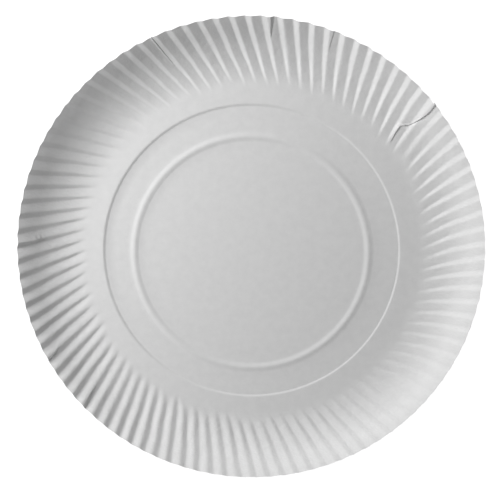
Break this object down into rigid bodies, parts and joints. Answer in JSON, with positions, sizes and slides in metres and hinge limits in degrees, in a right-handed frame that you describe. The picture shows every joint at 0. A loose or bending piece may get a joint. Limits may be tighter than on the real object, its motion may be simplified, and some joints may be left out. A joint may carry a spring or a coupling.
{
  "type": "paper plate",
  "caption": "Shallow round disposable plate of pressed white paperboard, with a flat middle, a ring bead, a low step and a swirled fluted wall.",
  "frame": {"origin": "centre of the flat underside, on the surface that the plate rests on", "axes": "+Z is the plate's axis, up out of its hollow side. Seen from above with +Y up, the tear is at upper right."},
  "size_m": [0.231, 0.231, 0.013],
  "materials": {
    "white_paperboard": "matt uncoated"
  },
  "bodies": {
    "root": {"plate": "white_paperboard"}
  },
  "joints": []
}
